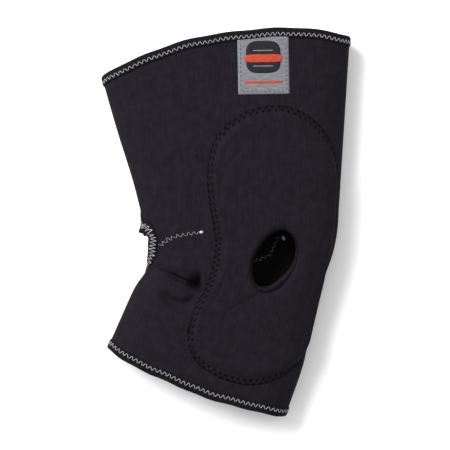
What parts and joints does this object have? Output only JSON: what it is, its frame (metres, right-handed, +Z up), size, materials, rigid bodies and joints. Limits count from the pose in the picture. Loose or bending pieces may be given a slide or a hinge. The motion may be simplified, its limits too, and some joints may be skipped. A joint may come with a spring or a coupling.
{
  "type": "knee sleeve",
  "caption": "Flat-lying bent knee sleeve with a front pad, a kneecap opening, bound hems, an opening behind the knee and zigzag seams.",
  "frame": {"origin": "under the middle of the sleeve's outline, on the surface it lies on", "axes": "+Z up from the surface; +Y from the calf opening towards the thigh opening; +X from the back of the knee towards the front"},
  "size_m": [0.1888, 0.29, 0.0436],
  "materials": {
    "neoprene_facing": "matte",
    "lining": "matte",
    "foam": "matte",
    "pad_cover": "matte",
    "binding": "matte",
    "white_thread": "matte",
    "black_thread": "satin",
    "label": "satin",
    "emblem": "satin",
    "stripe": "satin",
    "label_thread": "matte"
  },
  "bodies": {
    "thigh_part": {"far_dart_thread": "white_thread", "knee_back_seam_thread": "black_thread", "knee_facing": "neoprene_facing", "knee_foam": "foam", "knee_lining": "lining", "knee_pad_cover": "pad_cover", "knee_pad_foam": "foam", "knee_pad_thread": "black_thread", "label": "label", "label_emblem": "emblem", "label_stitching": "label_thread", "label_stripe": "stripe", "near_dart_thread": "white_thread", "patella_binding": "binding", "patella_thread": "black_thread", "popliteal_binding": "binding", "popliteal_thread": "white_thread", "thigh_facing": "neoprene_facing", "thigh_foam": "foam", "thigh_hem_binding": "binding", "thigh_hem_thread": "white_thread", "thigh_lining": "lining", "thigh_pad_cover": "pad_cover", "thigh_pad_foam": "foam", "thigh_pad_thread": "black_thread", "upper_back_seam_thread": "black_thread"},
    "calf_part": {"calf_facing": "neoprene_facing", "calf_foam": "foam", "calf_hem_binding": "binding", "calf_hem_thread": "white_thread", "calf_lining": "lining", "calf_pad_cover": "pad_cover", "calf_pad_foam": "foam", "calf_pad_thread": "black_thread", "lower_back_seam_thread": "black_thread"}
  },
  "joints": [
    {"name": "knee_flexion", "type": "hinge", "parent": "thigh_part", "child": "calf_part", "pos_m": [-0.00594, -0.02561, 0.0198], "axis": [0, 0, -1], "range_deg": [-27, 40], "stiffness_Nm_per_rad": 0.05, "deforming": ["far_dart_thread", "knee_back_seam_thread", "knee_facing", "knee_foam", "knee_lining", "knee_pad_cover", "knee_pad_foam", "knee_pad_thread", "near_dart_thread", "patella_binding", "patella_thread", "popliteal_binding", "popliteal_thread"]}
  ]
}
